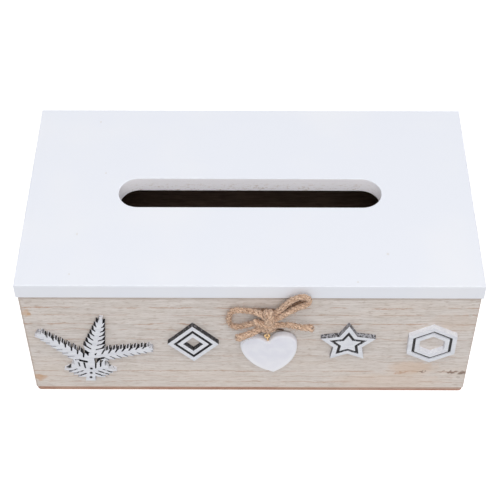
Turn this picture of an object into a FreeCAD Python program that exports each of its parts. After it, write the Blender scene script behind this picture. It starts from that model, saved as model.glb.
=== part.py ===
import FreeCAD, Part
import enum
import math
import os
import re

import Sketcher

# Driving sizes of the napkin box, in millimetres and degrees
SIZES = {
    # Case: four boards nailed at the corners, on a hardboard bottom
    "box_length": 248,
    "box_depth": 137,
    "wall_height": 82,
    "wall": 8,
    "base_thickness": 3,
    "base_corner": 2.5,
    # Lid board, flush at the back, and the slot that napkins are pulled through
    "lid_thickness": 10,
    "lid_overhang": 1,
    "lid_edge": 0.5,
    "slot_length": 148,
    "slot_width": 22.4,
    # Brads through the corners and up through the bottom
    "brad_radius": 0.7,
    "brad_length": 20,
    "brad_head_radius": 1.1,
    "brad_head_height": 0.7,
    "brad_set_depth": 1.2,
    "brad_rise": 10,
    "brad_drop": 15,
    "base_brad_length": 14,
    "base_brad_recess": 0.3,
    "base_brad_inset": 34,
    # Clearance round fasteners, and how far cuts run past a face
    "fit_gap": 0.05,
    "overrun": 1,
    # Butt hinges on the back, with their pin at the seam of lid and case
    "hinge_inset": 49,
    "hinge_length": 26,
    "leaf_thickness": 0.9,
    "box_leaf_height": 12,
    "lid_leaf_height": 7,
    "knuckle_radius": 1.7,
    "knuckle_gap": 0.3,
    "pin_radius": 0.8,
    "pin_head_radius": 1.3,
    "pin_head_height": 0.5,
    # Hinge screws
    "screw_spacing": 15,
    "screw_radius": 0.8,
    "screw_length": 6,
    "screw_head_radius": 1.6,
    "screw_crown_radius": 1,
    "screw_head_height": 0.6,
    "screw_slot_width": 0.4,
    "screw_slot_depth": 0.3,
    "box_screw_drop": 7.5,
    "lid_screw_rise": 4.5,
    # Block ornaments glued to the front: a sprig, a rhombus, a star and a hexagon
    "ornament_thickness": 3,
    "band_width": 6.4,
    "groove_inset": 2.4,
    "groove_width": 1.6,
    "groove_depth": 0.8,
    "rhombus_x": -31.3,
    "rhombus_z": 47.4,
    "rhombus_half_width": 14.2,
    "rhombus_half_height": 15.6,
    "star_x": 54.5,
    "star_z": 47.6,
    "star_radius": 16,
    "star_waist_radius": 8.4,
    "hexagon_x": 101.2,
    "hexagon_z": 46.7,
    "hexagon_radius": 15.4,
    # Leaf sprig: fronds along one stem, each a rib with slanting leaflets
    "sprig_x": -88.6,
    "sprig_z": 36.2,
    "stem_length": 23.4,
    "stem_width": 5.6,
    "stem_lean": 2.7,
    "crown_frond": 34,
    "crown_frond_width": 13,
    "arm_frond": 35.5,
    "arm_frond_width": 11.2,
    "foot_frond": 12,
    "foot_frond_width": 16,
    "rib_width": 2.6,
    "leaflet_slit": 0.95,
    "eyelet_radius": 0.65,
    "stem_slot_length": 5,
    "stem_slot_width": 1.7,
    "stem_slot_offset": 4.6,
    # Heart charm with a screw eye in its notch
    "heart_x": 10.5,
    "heart_z": 48.3,
    "heart_tilt": 7.3,
    "heart_standoff": 0.8,
    "heart_width": 31.5,
    "heart_lobe_radius": 7.8,
    "heart_drop": 25,
    "heart_notch_rise": 3,
    "heart_thickness": 4,
    "heart_edge": 1.2,
    "eye_rise": 6.75,
    "eye_radius": 1.25,
    "eye_wire_radius": 0.6,
    "eye_shank_length": 9,
    # Jute bow: one knot, two loops and two tails, and the yarn loop that holds the charm
    "twine_radius": 1.5,
    "knot_x": 9.2,
    "knot_z": 69.7,
    "knot_half_width": 5.2,
    "knot_half_height": 10.1,
    "knot_half_depth": 4.4,
    "knot_centre_out": 3.4,
    "yarn_radius": 0.35,
    "yarn_loop_radius": 2.9,
    "yarn_loop_out": 3.6,
}

# Routes of the twine: x, y from the front board's face (negative is outward) and z above the floor
LEFT_LOOP = [
    (6.2, -3.6, 77.3),
    (2.0, -4.3, 79.8),
    (-4.0, -5.3, 81.6),
    (-10.0, -5.8, 79.6),
    (-12.9, -6.0, 74.2),
    (-10.6, -6.0, 68.2),
    (-4.5, -5.6, 66.4),
    (2.0, -4.8, 69.2),
    (6.4, -4.2, 70.2),
]
RIGHT_LOOP = [
    (11.4, -3.6, 75.6),
    (15.0, -4.4, 79.6),
    (19.2, -5.2, 86.4),
    (24.2, -6.0, 92.7),
    (28.8, -6.6, 93.4),
    (32.0, -7.0, 90.7),
    (31.5, -7.2, 86.2),
    (26.0, -7.0, 82.0),
    (20.0, -6.6, 77.6),
    (15.0, -6.2, 74.8),
    (12.0, -5.6, 72.2),
]
LEFT_TAIL = [
    (6.6, -6.2, 67.6),
    (2.2, -7.6, 66.0),
    (-2.4, -8.3, 62.4),
    (-6.8, -8.4, 57.8),
]
RIGHT_TAIL = [
    (12.6, -6.4, 68.0),
    (17.4, -7.2, 70.6),
    (23.6, -7.6, 70.6),
    (29.6, -7.8, 67.9),
    (34.2, -7.7, 67.7),
]

# Fronds of the sprig: angle in degrees, share of the way down the stem, kind, and share of its length
FROND_SHARES = [
    (76.5, 0.0, "crown", 1),
    (135.5, 0.3, "arm", 1.09),
    (12.5, 0.04, "arm", 1),
    (151, 0.62, "foot", 1),
    (27, 0.62, "foot", 0.93),
]
LEAFLET_COUNTS = {"crown": 7, "arm": 8, "foot": 4}
FROND_TAPER_SHARES = {"crown": 0.24, "arm": 0.45, "foot": 0.7}
EYELET_SHARES = (0.5, 0.68, 0.86)
# Slots beside the stem: side, share of the way down it, and angle in degrees
STEM_SLOT_SHARES = [(-1, 0.2, 160), (1, 0.1, 18)]
FROND_BARE_SHARES = {"crown": 0.08, "arm": 0.08, "foot": -0.2}
FROND_LEAFY_SHARES = {"crown": 0.92, "arm": 0.97, "foot": 0.97}
LEAFLET_SHOULDER_SHARE = 0.74
LEAFLET_SLANT_SHARE = 0.5
TIP_SHOULDER_SHARE = 0.7
ARC_RUN_SHARE = 0.45

STAR_POINTS = 5
HEXAGON_SIDES = 6
ALONG_X = FreeCAD.Rotation(FreeCAD.Vector(0, 1, 0), 90)
ALONG_Y = FreeCAD.Rotation(FreeCAD.Vector(1, 0, 0), -90)
AGAINST_Y = FreeCAD.Rotation(FreeCAD.Vector(1, 0, 0), 90)
ALONG_Z = FreeCAD.Rotation()
VOLUME_TOLERANCE_SHARE = 0.01


class Spot(enum.IntEnum):
    """The points of a sketch's line or arc."""
    START = 1
    END = 2
    CENTRE = 3


class Axis(enum.IntEnum):
    """The axes of a sketch."""
    LEVEL = -1
    UPRIGHT = -2


ROOT = (Axis.LEVEL, Spot.START)

doc = FreeCAD.newDocument("napkin_box")
sheet = doc.addObject("Spreadsheet::Sheet", "Sizes")
for row, (alias, number) in enumerate(SIZES.items(), start=1):
    sheet.set(f"A{row}", alias)
    sheet.set(f"B{row}", str(number))
    sheet.setAlias(f"B{row}", alias)
doc.recompute()

subparts = []


# Formulas and places

def formula(text):
    """Point the size names in a formula at their cells."""
    return re.sub(r"[a-z]+(_[a-z]+)*", lambda word: cell(word.group()), text)


def cell(word):
    return f"Sizes.{word}" if word in SIZES else word


def size(alias):
    return float(sheet.get(alias))


def value(text):
    return float(sheet.evalExpression(formula(text)))


def bind(item, formulas):
    for path, text in formulas.items():
        item.setExpression(path, formula(text))


def place(item, at, turn=ALONG_Z):
    item.Placement = FreeCAD.Placement(FreeCAD.Vector(), turn)
    bind(item, {f"Placement.Base.{axis}": text for axis, text in zip("xyz", at)})
    return item


def subpart(item, label):
    item.Label = label
    subparts.append(item)
    return item


# Primitives and booleans

def box(name, sides, at):
    item = doc.addObject("Part::Box", name)
    bind(item, dict(zip(("Length", "Width", "Height"), sides)))
    return place(item, at)


def cylinder(name, radius, height, at, turn=ALONG_Z):
    item = doc.addObject("Part::Cylinder", name)
    bind(item, {"Radius": radius, "Height": height})
    return place(item, at, turn)


def fuse(name, shapes):
    item = doc.addObject("Part::MultiFuse", name)
    item.Shapes = shapes
    return item


def cut(name, base, tool):
    item = doc.addObject("Part::Cut", name)
    item.Base = base
    item.Tool = tool
    return item


def group(name, solids):
    item = doc.addObject("Part::Compound", name)
    item.Links = solids
    return item


# Sketches and features

def add_sketch(body, name, role, offset="0"):
    drawing = body.newObject("Sketcher::SketchObject", name)
    plane = next(item for item in body.Origin.OriginFeatures if item.Role == role)
    drawing.AttachmentSupport = (plane, [""])
    drawing.MapMode = "FlatFace"
    bind(drawing, {"AttachmentOffset.Base.z": offset})
    return drawing


def constrain(drawing, kind, places, name, text):
    """Add one named dimension and bind it to a formula."""
    index = drawing.addConstraint(Sketcher.Constraint(kind, *places, value(text)))
    drawing.renameConstraint(index, name)
    bind(drawing, {f"Constraints.{name}": text})


def draw_polygon(drawing, name, corners):
    """Draw a closed polygon whose corners are pairs of formulas."""
    first = drawing.GeometryCount
    count = len(corners)
    points = [FreeCAD.Vector(value(across), value(up), 0) for across, up in corners]
    sides = [Part.LineSegment(points[i], points[(i + 1) % count]) for i in range(count)]
    drawing.addGeometry(sides, False)
    for i in range(count):
        joined = Sketcher.Constraint("Coincident", first + i, Spot.END, first + (i + 1) % count, Spot.START)
        drawing.addConstraint(joined)
    for i, (across, up) in enumerate(corners):
        corner = (*ROOT, first + i, Spot.START)
        constrain(drawing, "DistanceX", corner, f"{name}_{i}_across", across)
        constrain(drawing, "DistanceY", corner, f"{name}_{i}_up", up)


def add_pad(body, drawing, length):
    pad = body.newObject("PartDesign::Pad", f"{drawing.Name}_pad")
    pad.Profile = drawing
    bind(pad, {"Length": length})
    drawing.Visibility = False
    doc.recompute()
    return pad


def add_pocket(body, drawing, depth):
    before = body.Shape.Volume
    pocket = body.newObject("PartDesign::Pocket", f"{drawing.Name}_pocket")
    pocket.Profile = drawing
    bind(pocket, {"Length": depth})
    doc.recompute()
    if body.Shape.Volume >= before:
        raise ValueError(f"{pocket.Name} cuts nothing")
    return pocket


def add_fillet(body, base, radius, wanted):
    """Round the edges of the last feature that the test picks."""
    names = [f"Edge{i}" for i, edge in enumerate(base.Shape.Edges, start=1) if wanted(edge)]
    fillet = body.newObject("PartDesign::Fillet", f"{base.Name}_fillet")
    fillet.Base = (base, names)
    bind(fillet, {"Radius": radius})
    doc.recompute()
    return fillet


def is_level(edge):
    heights = [vertex.Z for vertex in edge.Vertexes]
    return math.isclose(max(heights), min(heights), abs_tol=Part.Precision.confusion())


def is_upright(edge):
    return not is_level(edge)


def is_on_face(edge):
    depths = [vertex.Y for vertex in edge.Vertexes]
    return math.isclose(max(depths), min(depths), abs_tol=Part.Precision.confusion())


FRONT = "-box_depth / 2"
BACK = "box_depth / 2"
SEAM = "base_thickness + wall_height"
CORNER_X = "(box_length / 2 - wall / 2)"
CORNER_Y = "(box_depth / 2 - wall / 2)"


# Brads: each has a head and a shank, and the boards have a hole that follows both

def add_brad(name, mouth, turn, sunk, length):
    """Make a brad driven in at a point of a face, and the hole that it sits in."""
    axis = turn.multVec(FreeCAD.Vector(0, 0, 1))

    def deeper(amount):
        return [f"{text} + ({amount}) * ({step})" for text, step in zip(mouth, axis)]

    head = cylinder(f"{name}_head", "brad_head_radius", "brad_head_height", deeper(sunk), turn)
    shank = cylinder(f"{name}_shank", "brad_radius", length, deeper(sunk), turn)
    head_hole = cylinder(f"{name}_head_hole", "brad_head_radius + fit_gap",
                         f"overrun + {sunk} + brad_head_height + fit_gap", deeper("-overrun"), turn)
    shank_hole = cylinder(f"{name}_shank_hole", "brad_radius + fit_gap",
                          f"{length} + fit_gap", deeper(sunk), turn)
    return fuse(name, [head, shank]), [head_hole, shank_hole]


def add_corner_brads(face, mouth_y, turn):
    """Two brads at each end of the front or back board, with filler over their heads."""
    brads, holes, plugs = [], [], []
    heights = {"low": "base_thickness + brad_rise", "high": f"{SEAM} - brad_drop"}
    for side, mouth_x in {"left": f"-{CORNER_X}", "right": CORNER_X}.items():
        for level, mouth_z in heights.items():
            name = f"{face}_{side}_{level}"
            mouth = (mouth_x, mouth_y, mouth_z)
            brad, hole = add_brad(f"{name}_brad", mouth, turn, "brad_set_depth", "brad_length")
            brads.append(brad)
            holes.extend(hole)
            plugs.append(cylinder(f"{name}_plug", "brad_head_radius", "brad_set_depth", mouth, turn))
    subpart(group(f"{face}_brad_set", brads), f"{face}_brads")
    subpart(group(f"{face}_plug_set", plugs), f"{face}_filler_plugs")
    return holes


def add_base_brads():
    """Brads up through the bottom into every wall."""
    places = [(f"{step} * (box_length / 2 - base_brad_inset)", f"{side} * {CORNER_Y}")
              for side in (-1, 1) for step in (-1, 0, 1)]
    places += [(f"{side} * {CORNER_X}", "0") for side in (-1, 1)]
    brads, holes = [], []
    for i, (across, deep) in enumerate(places):
        brad, hole = add_brad(f"base_brad_{i}", (across, deep, "0"), ALONG_Z,
                              "base_brad_recess", "base_brad_length")
        brads.append(brad)
        holes.extend(hole)
    subpart(group("base_brad_set", brads), "base_brads")
    return holes


# Hinge screws

def add_screw(name, seat, turn):
    """Make a slotted screw with its head on a leaf, and the hole for its shank."""
    axis = turn.multVec(FreeCAD.Vector(0, 0, 1))

    def outward(amount):
        return [f"{text} - ({amount}) * ({step})" for text, step in zip(seat, axis)]

    crown = doc.addObject("Part::Cone", f"{name}_crown")
    bind(crown, {"Radius1": "screw_crown_radius", "Radius2": "screw_head_radius",
                 "Height": "screw_head_height"})
    place(crown, outward("screw_head_height"), turn)
    shank = cylinder(f"{name}_shank", "screw_radius", "screw_length", seat, turn)
    slot_sides = ("2 * screw_head_radius", "overrun + screw_slot_depth", "screw_slot_width")
    slot_at = (f"{seat[0]} - screw_head_radius",
               f"{seat[1]} + screw_head_height - screw_slot_depth",
               f"{seat[2]} - screw_slot_width / 2")
    slot = box(f"{name}_slot", slot_sides, slot_at)
    screw = cut(name, fuse(f"{name}_blank", [crown, shank]), slot)
    hole = cylinder(f"{name}_hole", "screw_radius + fit_gap", "screw_length + fit_gap + overrun",
                    outward("overrun"), turn)
    return screw, hole


# Hinges

HINGE_Y = f"({BACK} + knuckle_gap + knuckle_radius)"
KNUCKLE = "((hinge_length - 2 * knuckle_gap) / 3)"
NECK = "(knuckle_radius + knuckle_gap)"


def add_leaf(name, start_x, plate_z, plate_height, neck_z, knuckles, holes):
    """Make a leaf: a plate on the wood, and knuckles that wrap the pin on short necks."""
    plate_sides = ("hinge_length", "leaf_thickness", plate_height)
    pieces = [box(f"{name}_plate", plate_sides, (start_x, BACK, plate_z))]
    for i in knuckles:
        knuckle_x = f"{start_x} + {i} * ({KNUCKLE} + knuckle_gap)"
        pieces.append(box(f"{name}_neck_{i}", (KNUCKLE, "leaf_thickness", NECK), (knuckle_x, BACK, neck_z)))
        pieces.append(cylinder(f"{name}_knuckle_{i}", "knuckle_radius", KNUCKLE,
                               (knuckle_x, HINGE_Y, SEAM), ALONG_X))
    bore = cylinder(f"{name}_bore", "pin_radius + fit_gap", "hinge_length + 2 * overrun",
                    (f"{start_x} - overrun", HINGE_Y, SEAM), ALONG_X)
    blank = fuse(f"{name}_blank", pieces)
    return cut(name, blank, fuse(f"{name}_holes", [bore] + holes))


def add_hinge(side, sign):
    """Make one hinge and return its screws and screw holes, for the case and for the lid."""
    centre_x = f"{sign} * (box_length / 2 - hinge_inset)"
    start_x = f"{centre_x} - hinge_length / 2"
    seats = {"box": f"{SEAM} - box_screw_drop", "lid": f"{SEAM} + lid_screw_rise"}
    screws = {"box": [], "lid": []}
    holes = {"box": [], "lid": []}
    for leaf, seat_z in seats.items():
        for end in (-1, 1):
            seat = (f"{centre_x} + {end} * screw_spacing / 2", f"{BACK} + leaf_thickness", seat_z)
            screw, hole = add_screw(f"{side}_{leaf}_screw_{end + 1}", seat, AGAINST_Y)
            screws[leaf].append(screw)
            holes[leaf].append(hole)
    box_leaf = add_leaf(f"{side}_box_leaf", start_x, f"{SEAM} - box_leaf_height",
                        f"box_leaf_height - {NECK}", f"{SEAM} - {NECK}", (0, 2), holes["box"])
    lid_leaf = add_leaf(f"{side}_lid_leaf", start_x, f"{SEAM} + {NECK}",
                        f"lid_leaf_height - {NECK}", SEAM, (1,), holes["lid"])
    shaft = cylinder(f"{side}_shaft", "pin_radius", "hinge_length", (start_x, HINGE_Y, SEAM), ALONG_X)
    ends = {"near": f"{start_x} - pin_head_height", "far": f"{start_x} + hinge_length"}
    heads = [cylinder(f"{side}_pin_{end}_head", "pin_head_radius", "pin_head_height",
                      (head_x, HINGE_Y, SEAM), ALONG_X) for end, head_x in ends.items()]
    subpart(box_leaf, f"{side}_hinge_box_leaf")
    subpart(lid_leaf, f"{side}_hinge_lid_leaf")
    subpart(fuse(f"{side}_pin", [shaft] + heads), f"{side}_hinge_pin")
    return screws, holes


# Case and lid

def add_bottom():
    body = doc.addObject("PartDesign::Body", "bottom_board")
    drawing = add_sketch(body, "bottom_outline", "XY_Plane")
    draw_polygon(drawing, "edge", rectangle("box_length / 2", "box_depth / 2"))
    pad = add_pad(body, drawing, "base_thickness")
    add_fillet(body, pad, "base_corner", is_upright)
    return body


def rectangle(half_width, half_depth):
    return [(f"{across} * {half_width}", f"{deep} * {half_depth}")
            for across, deep in ((-1, -1), (1, -1), (1, 1), (-1, 1))]


def add_walls():
    """Front and back boards cover the ends of the side boards."""
    inner = "box_depth - 2 * wall"
    long_board = ("box_length", "wall", "wall_height")
    short_board = ("wall", inner, "wall_height")
    left = "-box_length / 2"
    return {
        "front_panel": box("front_board", long_board, (left, FRONT, "base_thickness")),
        "back_panel": box("back_board", long_board, (left, f"{BACK} - wall", "base_thickness")),
        "left_panel": box("left_board", short_board, (left, f"{FRONT} + wall", "base_thickness")),
        "right_panel": box("right_board", short_board,
                           ("box_length / 2 - wall", f"{FRONT} + wall", "base_thickness")),
    }


def draw_slot(drawing):
    """Draw the round-ended slot about the sketch's centre."""
    half_run = value("(slot_length - slot_width) / 2")
    radius = value("slot_width / 2")
    first = drawing.GeometryCount
    up = FreeCAD.Vector(0, 0, 1)
    for sign in (1, -1):
        ring = Part.Circle(FreeCAD.Vector(sign * half_run, 0, 0), up, radius)
        start = -sign * math.pi / 2
        drawing.addGeometry(Part.ArcOfCircle(ring, start, start + math.pi), False)
    for sign in (1, -1):
        ends = [FreeCAD.Vector(step * sign * half_run, sign * radius, 0) for step in (1, -1)]
        drawing.addGeometry(Part.LineSegment(*ends), False)
    right, left, upper, lower = range(first, first + 4)
    for line, arcs in ((upper, (right, left)), (lower, (left, right))):
        drawing.addConstraint(Sketcher.Constraint("Tangent", arcs[0], Spot.END, line, Spot.START))
        drawing.addConstraint(Sketcher.Constraint("Tangent", line, Spot.END, arcs[1], Spot.START))
    drawing.addConstraint(Sketcher.Constraint("Horizontal", upper))
    drawing.addConstraint(Sketcher.Constraint("Symmetric", right, Spot.CENTRE, left, Spot.CENTRE, *ROOT))
    centres = (left, Spot.CENTRE, right, Spot.CENTRE)
    constrain(drawing, "DistanceX", centres, "slot_run", "slot_length - slot_width")
    constrain(drawing, "Radius", (right,), "slot_end", "slot_width / 2")


def add_lid():
    body = doc.addObject("PartDesign::Body", "lid_board")
    place(body, ("0", "-lid_overhang / 2", SEAM))
    drawing = add_sketch(body, "lid_outline", "XY_Plane")
    edge = rectangle("(box_length / 2 + lid_overhang)", "(box_depth + lid_overhang) / 2")
    draw_polygon(drawing, "edge", edge)
    draw_slot(drawing)
    pad = add_pad(body, drawing, "lid_thickness")
    add_fillet(body, pad, "lid_edge", is_level)
    return body


# Block ornaments

def polar(radius, degrees):
    turn = math.radians(degrees)
    return (f"{radius} * ({math.cos(turn)})", f"{radius} * ({math.sin(turn)})")


def shrunk(corners, inset, reach):
    """Move every side of an outline inwards, where all sides lie at one distance from its centre."""
    share = f"(1 - ({inset}) / ({reach}))"
    return [(f"({across}) * {share}", f"({up}) * {share}") for across, up in corners]


def add_ornament(name, at, corners, reach, is_open):
    """Make a flat block with a groove along its band, open in the middle if it is a frame."""
    body = doc.addObject("PartDesign::Body", f"{name}_block")
    place(body, (at[0], FRONT, at[1]))
    outline = add_sketch(body, f"{name}_outline", "XZ_Plane")
    draw_polygon(outline, "outer", corners)
    if is_open:
        draw_polygon(outline, "inner", shrunk(corners, "band_width", reach))
    add_pad(body, outline, "ornament_thickness")
    groove = add_sketch(body, f"{name}_groove", "XZ_Plane", "ornament_thickness")
    draw_polygon(groove, "outer", shrunk(corners, "groove_inset", reach))
    draw_polygon(groove, "inner", shrunk(corners, "groove_inset + groove_width", reach))
    add_pocket(body, groove, "groove_depth")
    subpart(body, f"{name}_ornament")


def add_block_ornaments():
    wide, tall = "rhombus_half_width", "rhombus_half_height"
    rhombus = [(wide, "0"), ("0", tall), (f"-{wide}", "0"), ("0", f"-{tall}")]
    rhombus_reach = f"{wide} * {tall} / sqrt({wide} ^ 2 + {tall} ^ 2)"
    add_ornament("rhombus", ("rhombus_x", "rhombus_z"), rhombus, rhombus_reach, True)

    step = 180 / STAR_POINTS
    rings = ("star_radius", "star_waist_radius")
    star = [polar(rings[i % 2], 90 + i * step) for i in range(2 * STAR_POINTS)]
    sine, cosine = math.sin(math.radians(step)), math.cos(math.radians(step))
    side = f"sqrt(star_radius ^ 2 + star_waist_radius ^ 2 - 2 * star_radius * star_waist_radius * {cosine})"
    add_ornament("star", ("star_x", "star_z"), star,
                 f"star_radius * star_waist_radius * {sine} / {side}", False)

    step = 360 / HEXAGON_SIDES
    hexagon = [polar("hexagon_radius", 90 + i * step) for i in range(HEXAGON_SIDES)]
    add_ornament("hexagon", ("hexagon_x", "hexagon_z"), hexagon,
                 f"hexagon_radius * {math.cos(math.radians(step / 2))}", True)


# Leaf sprig

def stem_point(share):
    """A point of the stem's middle line, which leans as it runs down."""
    return FreeCAD.Vector(-share * size("stem_lean"), 0, -share * size("stem_length"))


def leaflet_side(length, half_width, kind):
    """One side of a frond, as distances along its rib and out from it."""
    rib = size("rib_width") / 2
    bare = FROND_BARE_SHARES[kind] * length
    pitch = (FROND_LEAFY_SHARES[kind] * length - bare) / LEAFLET_COUNTS[kind]
    points = [(0, rib)]
    for i in range(LEAFLET_COUNTS[kind]):
        start = bare + i * pitch
        end = start + pitch - size("leaflet_slit")
        out = half_width * (1 - (1 - FROND_TAPER_SHARES[kind]) * start / length)
        shoulder = LEAFLET_SHOULDER_SHARE * out
        points.append((start, rib))
        points.append((start + LEAFLET_SLANT_SHARE * shoulder, shoulder))
        points.append((end + LEAFLET_SLANT_SHARE * out, out))
        points.append((end, rib))
    points.append((length, TIP_SHOULDER_SHARE * rib))
    return points


def frond_face(angle, root, kind, length_share):
    length = length_share * size(f"{kind}_frond")
    width = size(f"{kind}_frond_width")
    side = leaflet_side(length, width / 2, kind)
    outline = side + [(along, -out) for along, out in reversed(side)]
    along_axis = FreeCAD.Vector(math.cos(math.radians(angle)), 0, math.sin(math.radians(angle)))
    out_axis = FreeCAD.Vector(-along_axis.z, 0, along_axis.x)
    base = stem_point(root)
    points = [base + along_axis * along + out_axis * out for along, out in outline]
    return Part.Face(Part.makePolygon(points + points[:1]))


def stem_slot(side, share, angle):
    """A cutter for one slot beside the stem."""
    length, width = size("stem_slot_length"), size("stem_slot_width")
    depth = size("ornament_thickness")
    centre = stem_point(share) + FreeCAD.Vector(side * size("stem_slot_offset"), 0, 0)
    cutter = Part.makeBox(length, depth, width, FreeCAD.Vector(-length / 2, -depth, -width / 2))
    cutter.rotate(FreeCAD.Vector(), FreeCAD.Vector(0, -1, 0), angle)
    cutter.translate(centre)
    return cutter


def add_sprig():
    """Fuse the fronds with a stem that widens to its foot, and cut its eyelets and slots."""
    half = size("stem_width") / 2
    across = FreeCAD.Vector(half, 0, 0)
    foot = stem_point(1)
    stem = [FreeCAD.Vector(-half / 2, 0, half), foot - across,
            foot + across, FreeCAD.Vector(half / 2, 0, half)]
    thickness = FreeCAD.Vector(0, -size("ornament_thickness"), 0)
    fronds = [frond_face(*frond).extrude(thickness) for frond in FROND_SHARES]
    block = Part.Face(Part.makePolygon(stem + stem[:1])).extrude(thickness).multiFuse(fronds)
    eyelets = [Part.makeCylinder(size("eyelet_radius"), thickness.Length,
                                 stem_point(share), thickness) for share in EYELET_SHARES]
    slots = [stem_slot(*slot) for slot in STEM_SLOT_SHARES]
    sprig = doc.addObject("Part::Feature", "sprig")
    sprig.Shape = block.cut(eyelets + slots).removeSplitter()
    place(sprig, ("sprig_x", FRONT, "sprig_z"))
    subpart(sprig, "sprig_ornament")


# Heart charm

HEART_Y = f"({FRONT} - heart_standoff)"


def draw_heart(drawing):
    """Draw two round lobes, two long flanks to the tip and the notch's floor."""
    half = value("heart_width / 2")
    lobe = size("heart_lobe_radius")
    drop = size("heart_drop")
    flank = (half ** 2 + drop ** 2) / (2 * half)
    up = FreeCAD.Vector(0, 0, 1)
    floor_turn = math.pi - math.asin(size("heart_notch_rise") / lobe)
    tip_turn = math.asin(drop / flank)
    rings = [
        (half - lobe, lobe, 0, floor_turn),
        (half - flank, flank, -tip_turn, 0),
        (lobe - half, lobe, math.pi - floor_turn, math.pi),
        (flank - half, flank, math.pi, math.pi + tip_turn),
    ]
    for centre, radius, start, end in rings:
        ring = Part.Circle(FreeCAD.Vector(centre, 0, 0), up, radius)
        drawing.addGeometry(Part.ArcOfCircle(ring, start, end), False)
    floor_x = half - lobe + lobe * math.cos(floor_turn)
    floor_z = size("heart_notch_rise")
    floor = Part.LineSegment(FreeCAD.Vector(-floor_x, floor_z, 0), FreeCAD.Vector(floor_x, floor_z, 0))
    drawing.addGeometry(floor, False)
    right_lobe, right_flank, left_lobe, left_flank, notch = range(5)
    joints = [
        (right_lobe, Spot.START, right_flank, Spot.END),
        (right_flank, Spot.START, left_flank, Spot.END),
        (left_flank, Spot.START, left_lobe, Spot.END),
        (left_lobe, Spot.START, notch, Spot.START),
        (notch, Spot.END, right_lobe, Spot.END),
    ]
    for ends in joints:
        drawing.addConstraint(Sketcher.Constraint("Coincident", *ends))
    for arc in (right_lobe, right_flank, left_lobe, left_flank):
        drawing.addConstraint(Sketcher.Constraint("PointOnObject", arc, Spot.CENTRE, Axis.LEVEL))
    drawing.addConstraint(Sketcher.Constraint("PointOnObject", right_lobe, Spot.START, Axis.LEVEL))
    drawing.addConstraint(Sketcher.Constraint("PointOnObject", left_lobe, Spot.END, Axis.LEVEL))
    drawing.addConstraint(Sketcher.Constraint("PointOnObject", right_flank, Spot.START, Axis.UPRIGHT))
    drawing.addConstraint(Sketcher.Constraint("Horizontal", notch))
    drawing.addConstraint(Sketcher.Constraint("Equal", right_lobe, left_lobe))
    constrain(drawing, "Radius", (right_lobe,), "lobe", "heart_lobe_radius")
    constrain(drawing, "DistanceX", (*ROOT, right_lobe, Spot.START), "right_side", "heart_width / 2")
    constrain(drawing, "DistanceX", (left_lobe, Spot.END, *ROOT), "left_side", "heart_width / 2")
    constrain(drawing, "DistanceY", (right_flank, Spot.START, *ROOT), "drop", "heart_drop")
    constrain(drawing, "DistanceY", (*ROOT, notch, Spot.END), "notch_floor", "heart_notch_rise")


def add_heart():
    """Make the charm and its screw eye, both leaning with the charm."""
    lean = FreeCAD.Rotation(FreeCAD.Vector(0, -1, 0), size("heart_tilt"))
    up = lean.multVec(FreeCAD.Vector(0, 0, 1))

    def on_axis(rise):
        return (f"heart_x + ({rise}) * ({up.x})",
                f"{HEART_Y} - heart_thickness / 2",
                f"heart_z + ({rise}) * ({up.z})")

    body = doc.addObject("PartDesign::Body", "heart_block")
    place(body, ("heart_x", HEART_Y, "heart_z"), lean)
    drawing = add_sketch(body, "heart_outline", "XZ_Plane")
    draw_heart(drawing)
    pad = add_pad(body, drawing, "heart_thickness")
    add_fillet(body, pad, "heart_edge", is_on_face)
    ring = doc.addObject("Part::Torus", "eye_ring")
    bind(ring, {"Radius1": "eye_radius", "Radius2": "eye_wire_radius"})
    place(ring, on_axis("eye_rise"), ALONG_Y)
    shank_foot = on_axis("eye_rise - eye_radius - eye_shank_length")
    shank = cylinder("eye_shank", "eye_wire_radius", "eye_shank_length", shank_foot, lean)
    pilot = cylinder("eye_pilot", "eye_wire_radius + fit_gap", "eye_shank_length + fit_gap",
                     on_axis("eye_rise - eye_radius - eye_shank_length - fit_gap"), lean)
    subpart(cut("heart", body, pilot), "heart_charm")
    subpart(fuse("eye", [ring, shank]), "heart_screw_eye")
    return on_axis("eye_rise")


# Jute bow

def cord_path(points):
    """Straight runs joined by tangent arcs, each as large as its two runs allow."""
    corners = [FreeCAD.Vector(*point) for point in points]
    edges, radii = [], []
    last = corners[0]
    for before, corner, after in zip(corners, corners[1:], corners[2:]):
        back, ahead = before - corner, after - corner
        reach = ARC_RUN_SHARE * min(back.Length, ahead.Length)
        turn = math.pi - back.getAngle(ahead)
        radius = reach / math.tan(turn / 2)
        start = corner + back.normalize() * reach
        end = corner + ahead.normalize() * reach
        inward = ((start + end) / 2 - corner).normalize()
        middle = corner + inward * (math.hypot(reach, radius) - radius)
        edges.append(Part.LineSegment(last, start).toShape())
        edges.append(Part.Arc(start, middle, end).toShape())
        radii.append(radius)
        last = end
    edges.append(Part.LineSegment(last, corners[-1]).toShape())
    return Part.Wire(edges), radii


def add_twine(name, points):
    path, radii = cord_path(points)
    radius = size("twine_radius")
    start = FreeCAD.Vector(*points[0])
    heading = FreeCAD.Vector(*points[1]) - start
    ring = Part.Wire(Part.makeCircle(radius, start, heading))
    tube = path.makePipeShell([ring], True, False)
    expected = math.pi * radius ** 2 * path.Length
    if abs(tube.Volume - expected) > VOLUME_TOLERANCE_SHARE * expected:
        raise ValueError(f"{name} has volume {tube.Volume}, not {expected}")
    print(name, "length", round(path.Length, 1), "radii", [round(bend, 1) for bend in radii])
    item = doc.addObject("Part::Feature", name)
    item.Shape = tube
    place(item, ("0", FRONT, "0"))
    subpart(item, name)


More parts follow.
